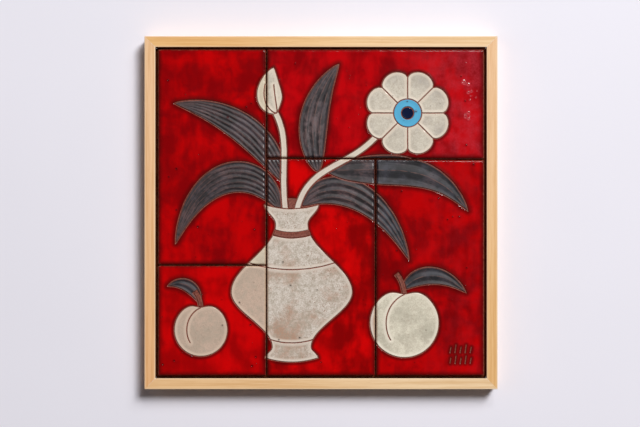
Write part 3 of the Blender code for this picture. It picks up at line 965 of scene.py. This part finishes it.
# Colours that all the tiles share
glazeTints = {
    "clay": ((104, 46, 33), (140, 74, 57)),
    "redStain": (104, 0, 8),
    # colour of the painted sheen on the red
    "redPaintedSheen": (196, 52, 66),
    # the red's darkening beside lines, leaves and edges: partly its own darker margin, partly painted shade
    "redMarginAndShade": (80, 5, 6),
    "redSpot": (72, 3, 6),
    "burst": (196, 84, 92),
    "creamMottle": (176, 165, 148),
    "creamGrain": (164, 148, 130),
    "creamSpeckle": (156, 122, 104),
    "creamPin": (104, 84, 70),
    "creamEdge": (186, 158, 128),
    "creamSpot": (84, 70, 58),
    "combGap": (24, 17, 20),
    "smooth": ((30, 29, 35), (60, 59, 68)),
    "thread": (112, 82, 78),
    "leafShade": (16, 15, 18),
    "leafCrest": (110, 77, 70),
    "leafRim": (108, 64, 58),
    "leafEdge": (52, 36, 32),
    "paleBlue": (92, 176, 214),
    "darkBlue": (14, 26, 58),
}

# How each glaze changes near a line, a leaf or an edge: from and to, in metres, and how strongly.
# The red's darkening there is partly the glaze's own darker margin and partly painted shade
glazeEdges = {
    "red": {
        "lineGap": (0.0019, 0.0060, 0.7),
        "leafGap": (0.0008, 0.0092, 0.8),
        "edgeGap": (0.0008, 0.0046, 0.6),
    },
    # the red's painted shade along the tile's sides and bottom, left off the upper side, which faces the
    # light
    "redSidePaintedShade": (0.0008, 0.0030, 0.011, 0.85),  # start, least reach, how much it varies, strength
    "cream": {"lineGap": (0.0026, 0.0062, 0.8), "edgeGap": (0.0008, 0.0026, 0.6)},
    "charcoal": {"lineGap": (0.0014, 0.0024, 0.55), "edgeGap": (0.0006, 0.0022, 0.6)},
    "charcoalShade": (0.0020, 0.0060, 0.5),
    "crest": (0.0002, 0.0009, 0.75),
    "bareLip": (0.0011, 0.0021, 0.85),
    "fray": 0.0024,
    # the wider bare lip at the field's sides and top is partly painted light, for lips that catch the light
    "bareRimAndLitLip": (0.0045, 0.0035),  # in from the field's sides and top, where the bare lip is wider
    "outerLip": 0.0010,
}


def redGlaze(place, gaps, look):
    seed, tints = look["seed"], glazeTints
    clouds, broad = noise(place, 26, 3, seed, 0.55, 0.4), noise(place, 9, 2, seed + 7)
    streaks = noise(place.vector("MULTIPLY", (1, 1, 0.35)), 95, 2, seed)
    depth = clouds * 0.50 + broad * 0.28 + streaks * 0.22
    # a painted sheen: pinkish and broken, towards the field's right and mostly on the upper right tile, it
    # stands for the light's reflection in the glaze
    paintedSheen = noise(place, 60, 4, 9.0).ease(0.36, 0.64, 0.15, 0.8)
    paintedSheen *= noise(place, 420, 3, 2.0).ease(0.3, 0.7, 0.5, 1.0)
    paintedSheen *= axisOf(place, "X").ease(0.08, 0.22)
    # the red darkens beside lines, leaves and the tile's edges, partly as its own darker margin and partly
    # as painted shade; the wider darkening along the sides and bottom is painted shade alone
    sideStart, least, more, strength = glazeEdges["redSidePaintedShade"]
    reach = noise(place, 40, 3, 5.0) * more + least
    nearSide = (gaps["shadedSideGap"] - sideStart).math("DIVIDE", reach, clamp=True)
    dark = greatest(nearSide.fade(0, 1, strength), *fades(gaps, "red"))
    return layered(
        depth.ease(0.40, 0.60).mix(look["redDark"], look["redBright"]),
        (noise(place, 55, 2, seed + 30).ease(0.62, 0.78, 0, 0.4), tints["redStain"]),
        (paintedSheen * look["paintedSheen"], tints["redPaintedSheen"]),
        (dark, tints["redMarginAndShade"]),
    )


def creamGlaze(place, gaps, look):
    seed, mottle, tints = look["seed"], look["mottle"], glazeTints
    nearLine, nearEdge = fades(gaps, "cream")
    clouds = noise(place, 21, 6, seed + 20, 0.68).ease(0.42, 0.64)
    dots = noise(place, 560, 2, seed).ease(0.56, 0.68) * noise(place, 28, 3, seed + 40).ease(0.44, 0.60)
    return layered(
        look["cream"],
        (clouds * look["clouds"], look["creamCloud"]),
        (noise(place, 190, 4, seed + 25, 0.65).ease(0.42, 0.68, 0, mottle), tints["creamMottle"]),
        (noise(place, 780, 2, seed + 26).ease(0.36, 0.64, 0, mottle * 0.65), tints["creamGrain"]),
        (dots * look["speckle"], tints["creamSpeckle"]),
        (noise(place, 620, 1, seed + 50).ease(0.76, 0.80, 0, 0.5), tints["creamPin"]),
        (nearLine, look["creamRim"]),
        (nearEdge, tints["creamEdge"]),
    )


def charcoalGlaze(place, gaps, look):
    # streaks run along each leaf, as a comb leaves them
    seed, tints = look["seed"], glazeTints
    onLeaf = place.add("ShaderNodeCombineXYZ", {0: gaps["across"], 1: gaps["along"] * 0.14})
    wide = noise(onLeaf, 230, 3, seed, 0.62)
    tone = noise(onLeaf, 700, 2, seed + 5) * 0.35 + wide * 0.65
    combed = tone.ease(0.36, 0.58).mix(tints["combGap"], look["combed"])
    smooth = noise(place, 50, 4, seed + 60).ease(0.36, 0.64).mix(*tints["smooth"])
    share = noise(place, 30, 3, seed + 70).ease(0.36, 0.60, -0.3, 0.3)
    share = share.math("ADD", look["smoothGrey"], clamp=True)
    thread = ((wide * 8).math("FRACT") - 0.5).math("ABSOLUTE").fade(0.05, 0.20, 0.5) * (1 - share)
    shade = noise(place, 90, 3, seed + 62, 0.6, 0.4) * 0.5 + noise(place, 30, 3, seed + 61) * 0.5
    shade = greatest(shade.ease(0.44, 0.56, 0, 0.72), gaps["lineGap"].fade(*glazeEdges["charcoalShade"]))
    crest = noise(place, 110, 3, 2.0).ease(0.34, 0.60, 0, look["crest"])
    nearLine, nearEdge = fades(gaps, "charcoal")
    return layered(
        share.mix(combed, smooth),
        (thread, tints["thread"]),
        (shade, tints["leafShade"]),
        (gaps["crestGap"].fade(*glazeEdges["crest"]) * crest, tints["leafCrest"]),
        (nearLine, tints["leafRim"]),
        (nearEdge, tints["leafEdge"]),
    )


def bareRimAndLitLip(place):
    # at the field's sides more of the bare clay shows, and a little more at its top; this wider bare lip is
    # partly painted light, standing for lips that catch the light
    start, end = glazeEdges["bareRimAndLitLip"]
    side = axisOf(place, "X").math("ABSOLUTE").ease(fieldSide / 2 - start, fieldSide / 2 - end)
    return greatest(side, axisOf(place, "Z").ease(fieldHigh.z - start, fieldHigh.z - end, 0, 0.4))


def makeGlaze(name, look):
    made, place = newMaterial(name + "_glaze")
    names = (*glazeNames, *leafNames[1:], "leafGap", "shadedSideGap", "cut", "lineGap", "edgeGap", "spotGap")
    gaps = {name: attribute(place, name) for name in names}
    cream, shade, tints = gaps["cream"], attribute(place, "spotShade"), glazeTints

    # burst bubbles have a paler rim, and specks are dark
    burst = gaps["spotGap"].fade(0.9, 1.9, 0.5) * shade.math("MULTIPLY_ADD", -4, 1, clamp=True)
    speck = greatest(gaps["spotGap"].fade(0.35, 1.25), gaps["spotGap"].fade(1.0, 2.6, 0.35))

    # bare clay shows in the lines and along the edge, with a frayed limit
    bare = (gaps["cut"] + (noise(place, 700, 3, 1.0) - 0.5) * 0.5).ease(0.32, 0.66)
    fray = noise(place, 240, 3, 6.0) * glazeEdges["fray"] + gaps["edgeGap"]
    # wider bare lip at the field's sides and top, partly as painted light
    fray -= bareRimAndLitLip(place) * glazeEdges["outerLip"]
    bareEdge = fray.fade(*glazeEdges["bareLip"]) * (1 - cream * 0.7)
    bare = greatest(bare, bareEdge, gaps["clay"])
    colour = layered(
        redGlaze(place, gaps, look),
        (cream, creamGlaze(place, gaps, look)),
        (gaps["charcoal"], charcoalGlaze(place, gaps, look)),
        (gaps["paleBlue"], tints["paleBlue"]),
        (gaps["darkBlue"], tints["darkBlue"]),
        (burst, tints["burst"]),
        (speck * shade, cream.mix(tints["redSpot"], tints["creamSpot"])),
        (bare, noise(place, 420, 4, 3.0).ease(0.3, 0.7).mix(*tints["clay"])),
    )
    dull = gaps["edgeGap"].ease(0.0018, 0.0050, 0.10, 0.46)
    shine = noise(place, 50, 3, 8.0) * 0.12 + 0.08 + cream * 0.14 + gaps["charcoal"] * dull
    onLeaf = place.add("ShaderNodeCombineXYZ", {0: gaps["across"], 1: gaps["along"] * 0.05})
    streaks = noise(onLeaf, 1300, 2, 3.0) * gaps["taper"]
    grit = noise(place, 1900, 3, 4.0) * (bare * 0.9 + 0.05)
    height = noise(place, 300, 2, 4.0) + grit + streaks
    finishShader(colour, greatest(shine, bare * 0.6), bumped(height, 0.6, 0.00010))
    return made


# Plain finishes: tone and surface are noise, in waves to the metre, and bump is its strength and depth
plainLooks = {
    "bare_clay": {
        "tone": (90, 5, 0.0, 0.6), "colours": ((120, 66, 48), (158, 96, 72)), "roughness": (0.8, 0.95),
        "surface": (900, 4, 1.0), "bump": (0.7, 0.0003),
    },
    # the board front's stain, painted paler as light in the joints' deep shade
    "stain_and_painted_light": {
        "tone": (120, 4), "colours": ((142, 62, 20), (190, 96, 44)), "roughness": (0.85, 0.95),
        "surface": (600, 3), "bump": (0.4, 0.0002),
    },
}


def makePlain(name):
    look = plainLooks[name]
    made, place = newMaterial(name)
    tone = noise(place, *look["tone"])
    bump = bumped(noise(place, *look["surface"]), *look["bump"])
    finishShader(tone.ease(0.3, 0.7).mix(*look["colours"]), tone.ease(0, 1, *look["roughness"]), bump)
    return made


def makeTile(name, seed, tree, clayBody):
    # one tile: carved and glazed front, straight clay sides, flat back
    outline = tileOutline(name)
    border = tileBorder(outline, seed)
    bubbles = tileBubbles(name, outline, seed)
    flat, triangles = tileSheet(outline, border, bubbles)
    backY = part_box(name)[1].y
    faceY = backY - reliefPlan["tileThickness"]
    loop = borderLoop(triangles)
    count, around = len(flat), len(loop)
    points = [toWorld(flat, faceY)]
    faces = [tuple(triangle) for triangle in triangles.tolist()]
    rows = [loop]
    for step, y in enumerate((faceY + reliefPlan["sideRow"], backY)):
        points.append(toWorld(flat[loop], y))
        rows.append(list(range(count + step * around, count + (step + 1) * around)))
    for upper, lower in zip(rows[:-1], rows[1:]):
        for k in range(around):
            after = (k + 1) % around
            faces.append((upper[k], lower[k], lower[after], upper[after]))
    faces.append(tuple(rows[-1][::-1]))
    tile = meshObject(name + "_glazed", np.vstack(points), faces)
    shares = {**glazeShares(flat), "leafGap": leafGaps(flat), "shadedSideGap": shadedSideGaps(flat, border)}
    for label, values in {**shares, "front": np.ones(count)}.items():
        addValues(tile.data, label, np.concatenate([values, np.zeros(2 * around)]))
    addValues(tile.data, "glazed", np.arange(len(faces)) < len(triangles), "FACE")
    lines = linesObject(name + "_lines", picture["grooves"], faceY)
    edge = linesObject(name + "_edge", [closed(border)], faceY)
    spots = meshObject(name + "_spots", toWorld(bubbles[:, :2], faceY), [])
    addValues(spots.data, "radius", bubbles[:, 2])
    addValues(spots.data, "shade", bubbles[:, 3])
    values = {**reliefPlan, "Lines": lines, "Outline": edge, "Bubbles": spots, "Seed": float(seed)}
    look = {label: each[tileNames.index(name)] for label, each in glazeLooks.items()}
    values.update({"Glaze": makeGlaze(name, look), "Body": clayBody})
    tile = withTree(tile, tree, values)
    for helper in (lines, edge, spots):
        bpy.data.objects.remove(helper)
    smoothed(tile.data, reliefPlan["sharpAngle"])
    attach(tile, "root")
    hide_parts(name)
    print(name, len(tile.data.polygons), "faces")


reliefTree = buildReliefTree()
clayBody = makePlain("bare_clay")
for seed, name in enumerate(tileNames, start=11):
    makeTile(name, seed, reliefTree, clayBody)
print("tiles made")

# Rails, in metres
railPlan = {
    "arris": 0.0007,
    "arrisSteps": 6,
    "paleEdge": 0.0015,
    "stainStart": 0.0009,
    "stainEdge": 0.0004,
    "mitreGap": 0.00014,
    "rowSpacing": 0.008,
    "bow": 0.00008,
    "bowWaves": 9,
    "grainShift": (1.7, 0.31),  # from rail to rail, along and across
    "sharpAngle": 40,
    "sides": ("bottom", "left", "top", "right"),
    "tones": {  # at the start and the end of each rail, going round against the clock
        "bottom": ((240, 198, 147), (245, 214, 172)),
        "left": ((242, 200, 156), (239, 187, 134)),
        "top": ((246, 214, 171), (239, 191, 128)),
        "right": ((238, 193, 134), (241, 200, 157)),
    },
    # the top and right rails' stain is painted paler: painted light on inner sides that lie in shade
    "stainAndPaintedLight": {  # on the side that faces the tiles, paler where the photograph shows more of it
        "bottom": (84, 36, 14),
        "left": (96, 44, 16),
        "top": (205, 126, 66),
        "right": (205, 126, 66),
    },
    "grain": (238, 226, 210),
    "fleck": (190, 138, 94),
    # the front arrises' paler colour: partly sanded wood, partly a painted highlight
    "sandedArrisAndHighlight": (244, 222, 192),
}


def makeWood(side, seed):
    # straight fine grain along the rail, read from the rail's own places
    made, place = newMaterial("frame_wood_" + side, "grain")
    broad = noise(place.vector("MULTIPLY", (5, 260, 260)), 1, 3, seed, 0.5, 0.3)
    fibre = noise(place.vector("MULTIPLY", (30, 950, 950)), 1, 3, seed)
    fleck = noise(place.vector("MULTIPLY", (120, 1400, 1400)), 1, 2, seed + 5)
    colour = attribute(place, "length").ease(0.05, 0.95).mix(*railPlan["tones"][side])
    inputs = {0: 1.0, 6: colour, 7: paint(*railPlan["grain"])}
    grained = place.add("ShaderNodeMix", inputs, 2, data_type="RGBA", blend_type="MULTIPLY")
    colour = layered(
        colour,
        ((fibre * 0.4 + broad * 0.6).fade(0.36, 0.62), grained),
        (fleck.ease(0.64, 0.78, 0, 0.4), railPlan["fleck"]),
        # paler front arrises, partly sanded wood and partly a painted highlight
        (attribute(place, "pale") * 0.45, railPlan["sandedArrisAndHighlight"]),
        # the stain, paler on the top and right rails as painted light
        (attribute(place, "stain").ease(0.2, 1.0), railPlan["stainAndPaintedLight"][side]),
    )
    bump = bumped(fibre + fleck * 0.5, 0.35, 0.00006)
    finishShader(colour, fibre.ease(0.2, 0.8, 0.50, 0.62), bump, 0.2)
    return made


def railSection(face, depth):
    # distance out from the opening, y, paleness and stain: the two front arrises are rounded and paler,
    # partly as sanded wood and partly as a painted highlight, and the stain runs along the inner side
    # from behind the board's edge
    radius, paleEdge = railPlan["arris"], railPlan["paleEdge"]
    low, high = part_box("backing_board")
    stainBack = (low.y + high.y) / 2
    section = [(face, 0, 0, 0), (0, 0, 0, 0), (0, stainBack + railPlan["stainEdge"], 0, 0)]
    section += [(0, stainBack, 0, 1), (0, -depth + radius + railPlan["stainStart"], 0, 1)]
    for centre, turned in ((radius, math.pi), (face - radius, 1.5 * math.pi)):
        if turned > math.pi:
            section += [(radius + paleEdge, -depth, 0, 0), (face - radius - paleEdge, -depth, 0, 0)]
        for share in np.linspace(0, math.pi / 2, railPlan["arrisSteps"]):
            across = centre + radius * math.cos(turned + share)
            section.append((across, -depth + radius * (1 + math.sin(turned + share)), 1, 0))
    return section + [(face, -depth + radius + paleEdge, 0, 0)]


def makeRail(side, turn):
    # built as the bottom rail, then turned about the panel's centre
    low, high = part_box("frame_rail_bottom")
    face, depth = high.z - low.z, high.y - low.y
    outerHalf = (cadBox[1].x - cadBox[0].x) / 2
    openingHalf = outerHalf - face
    section = railSection(face, depth)
    alongShift, acrossShift = railPlan["grainShift"]
    steps = int(2 * outerHalf / railPlan["rowSpacing"])
    mesh = bmesh.new()
    grain = mesh.verts.layers.float_vector.new("grain")
    length, pale, stain = (mesh.verts.layers.float.new(name) for name in ("length", "pale", "stain"))
    rings = []
    for step in range(steps + 1):
        share = 2 * step / steps - 1
        ring = []
        for out, y, paleness, stained in section:
            half = openingHalf + out - railPlan["mitreGap"] / math.sqrt(2)
            wave = (1 + math.sin(share * railPlan["bowWaves"] + turn * 2)) / 2 if y < -depth / 2 else 0
            corner = mesh.verts.new((share * half, y + railPlan["bow"] * wave, -openingHalf - out))
            corner[grain] = (share * half + turn * alongShift, out + turn * acrossShift, y)
            corner[length], corner[pale], corner[stain] = (share + 1) / 2, paleness, stained
            ring.append(corner)
        rings.append(ring)
    count = len(section)
    for first, second in zip(rings[:-1], rings[1:]):
        for k in range(count):
            after = (k + 1) % count
            mesh.faces.new([first[k], first[after], second[after], second[k]])
    mesh.faces.new(rings[0])
    mesh.faces.new(rings[-1])
    bmesh.ops.recalc_face_normals(mesh, faces=mesh.faces)
    rail = bmeshObject(f"rail_{side}", mesh)
    centre = Vector((0, high.y, low.z + outerHalf))
    cos, sin = (1, 0, -1, 0)[turn], (0, 1, 0, -1)[turn]
    for corner in rail.data.vertices:
        x, y, z = corner.co
        corner.co = centre + Vector((x * cos + z * sin, y, -x * sin + z * cos))
    smoothed(rail.data, railPlan["sharpAngle"])
    rail.data.materials.append(makeWood(side, turn * 3.0))
    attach(rail, "root")
    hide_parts(f"frame_rail_{side}")


for turn, side in enumerate(railPlan["sides"]):
    makeRail(side, turn)
print("rails made")

boardPlan = {
    "bevel": 0.0006,
    "veneer": 0.0012,
    "sharpAngle": 40,
    "plywood": ((150, 108, 72), (198, 158, 114)),
}


def makePlywood():
    made, place = newMaterial("backing_plywood")
    bend = noise(place.vector("MULTIPLY", (3, 1, 1.2)), 1, 2, 1.0)
    rings = noise(place.vector("MULTIPLY", (60, 1, 2.2)), 1, 3, bend, 0.5, 0.6)
    fibre = noise(place.vector("MULTIPLY", (900, 900, 14)), 1, 3, 2.0)
    colour = (fibre * 0.4 + rings * 0.6).ease(0.36, 0.62).mix(*boardPlan["plywood"])
    finishShader(colour, fibre.ease(0, 1, 0.65, 0.8), bumped(fibre, 0.5, 0.00015))
    return made


def makeBoard():
    # its front is stained and shows in the joints; the stain is painted paler, as painted light in the
    # joints' deep shade
    low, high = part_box("backing_board")
    mesh = bmesh.new()
    bmesh.ops.create_cube(mesh, size=1)
    size, middle = high - low, (high + low) / 2
    for corner in mesh.verts:
        corner.co = Vector(a * b + c for a, b, c in zip(corner.co, size, middle))
    bmesh.ops.bevel(mesh, geom=mesh.edges[:], offset=boardPlan["bevel"], segments=2, affect="EDGES")
    for face in mesh.faces:
        face.material_index = 1 if face.calc_center_median().y < low.y + boardPlan["veneer"] else 0
    board = bmeshObject("board", mesh)
    smoothed(board.data, boardPlan["sharpAngle"])
    board.data.materials.append(makePlywood())
    board.data.materials.append(makePlain("stain_and_painted_light"))
    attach(board, "root")
    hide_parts("backing_board")


makeBoard()
print("board made")

# Room, light and camera, with places from the panel's centre
stagePlan = {
    "wallGap": 0.00005,
    "wallSize": 5.0,
    "wallPaint": (238, 236, 245),
    "holeInset": 0.0008,
    "floorDrop": 1.3,
    "floorSize": 14.0,
    "floorPaint": (222, 220, 218),
    "cameraDistance": 2.0,
    "cameraShift": (-1.0, -0.8),  # in pixels, to the right and up
    "framePixels": 353.2,
    "imageWidth": 640.0,
    "sensor": 36.0,
    "dimSky": (1.0, 0.78, 0.74, 1),
    "dimStrength": 0.036,
    "paleSky": (0.80, 0.79, 0.83, 1),
    "lights": {  # place, size and power
        "key": ((2.70, -6.20, 3.45), 2.40, 464.0),
        "high": ((2.20, -3.40, 2.95), 1.60, 55.0),
        "glint": ((0.62, -3.40, 2.95), 0.55, 22.0),
        "fill": ((-3.4, -3.2, 0.2), 2.80, 13.5),
        "behind": ((0.9, 3.2, 1.2), 2.20, 110.0),
    },
    "dullLight": "fill",
}


def makePaint(name, colour, seeThroughFromBehind):
    made, place = newMaterial(name)
    add, tone = place.add, noise(place, 3).ease(0.3, 0.7, 0.985, 1)
    base = add("ShaderNodeVectorMath", {0: paint(*colour)[:3], "Scale": tone}, operation="SCALE")
    bump = bumped(noise(place, 260, 4), 0.15, 0.0003)
    matte = add("ShaderNodeBsdfDiffuse", {"Color": base, "Normal": bump})
    if seeThroughFromBehind:
        behind = add("ShaderNodeNewGeometry", output="Backfacing")
        matte = add("ShaderNodeMixShader", {0: behind, 1: matte, 2: add("ShaderNodeBsdfTransparent")})
    add("ShaderNodeOutputMaterial", {0: matte})
    return made


def makeStage(centre):
    # the wall is open behind the panel, where the panel hides it, so that the panel's back is lit too
    half = stagePlan["wallSize"] / 2
    wallY = cadBox[1].y + stagePlan["wallGap"]
    floorZ = centre.z - stagePlan["floorDrop"]
    holeHalf = (cadBox[1].x - cadBox[0].x) / 2 - stagePlan["holeInset"]
    signs = ((-1, -1), (1, -1), (1, 1), (-1, 1))
    outer = [(half * x, wallY, floorZ + half * (1 + z)) for x, z in signs]
    inner = [(centre.x + holeHalf * x, wallY, centre.z + holeHalf * z) for x, z in signs]
    faces = [(k, (k + 1) % 4, 4 + (k + 1) % 4, 4 + k) for k in range(4)]
    wall = meshObject("wall", outer + inner, faces)
    wall.data.materials.append(makePaint("wall_paint", stagePlan["wallPaint"], True))
    half = stagePlan["floorSize"] / 2
    floor = meshObject("floor", [(half * x, half * y, floorZ) for x, y in signs], [(0, 1, 2, 3)])
    floor.data.materials.append(makePaint("floor_paint", stagePlan["floorPaint"], False))
    floor.visible_diffuse = False  # it would fill the shadow on the wall
    floor.visible_glossy = False  # and would shine in the lower edges of the tiles
    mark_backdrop(wall, floor)


def makeLight(name, centre, place, size, power):
    data = bpy.data.lights.new(name, "AREA")
    data.shape = "DISK"
    data.size, data.energy = size, power
    light = linked(name, data)
    light.location = centre + Vector(place)
    light.rotation_euler = (-Vector(place)).to_track_quat("-Z", "Y").to_euler()
    light.visible_camera = False
    light.visible_glossy = name != stagePlan["dullLight"]


def makeWorld():
    # dim all round, and pale where the camera looks past the room
    world = bpy.data.worlds.new("studio")
    world.use_nodes = True
    world.node_tree.nodes.clear()
    add = nodeAdder(world.node_tree)
    seen = add("ShaderNodeLightPath", output="Is Camera Ray")
    dim = add("ShaderNodeBackground", {"Color": stagePlan["dimSky"], "Strength": stagePlan["dimStrength"]})
    pale = add("ShaderNodeBackground", {"Color": stagePlan["paleSky"], "Strength": 1.0})
    add("ShaderNodeOutputWorld", {0: add("ShaderNodeMixShader", {0: seen, 1: dim, 2: pale})})
    bpy.context.scene.world = world


def makeCamera(centre):
    # straight on, as far off as makes the frame as wide as in the photograph
    data = bpy.data.cameras.new("camera")
    data.sensor_width = stagePlan["sensor"]
    pixel = (cadBox[1].x - cadBox[0].x) / stagePlan["framePixels"]
    data.lens = stagePlan["sensor"] * stagePlan["cameraDistance"] / (pixel * stagePlan["imageWidth"])
    camera = linked("camera", data)
    right, up = stagePlan["cameraShift"]
    y = cadBox[0].y - stagePlan["cameraDistance"]
    camera.location = (centre.x + right * pixel, y, centre.z + up * pixel)
    camera.rotation_euler = (math.pi / 2, 0, 0)
    bpy.context.scene.camera = camera


centre = (cadBox[0] + cadBox[1]) / 2
makeStage(centre)
for name, settings in stagePlan["lights"].items():
    makeLight(name, centre, *settings)
makeWorld()
makeCamera(centre)
bpy.context.scene.view_settings.view_transform = "Standard"
print("stage set")

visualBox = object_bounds()
boxes = {"cad": cadBox, "visual": visualBox}
{name: [list(corner) for corner in box] for name, box in boxes.items()}
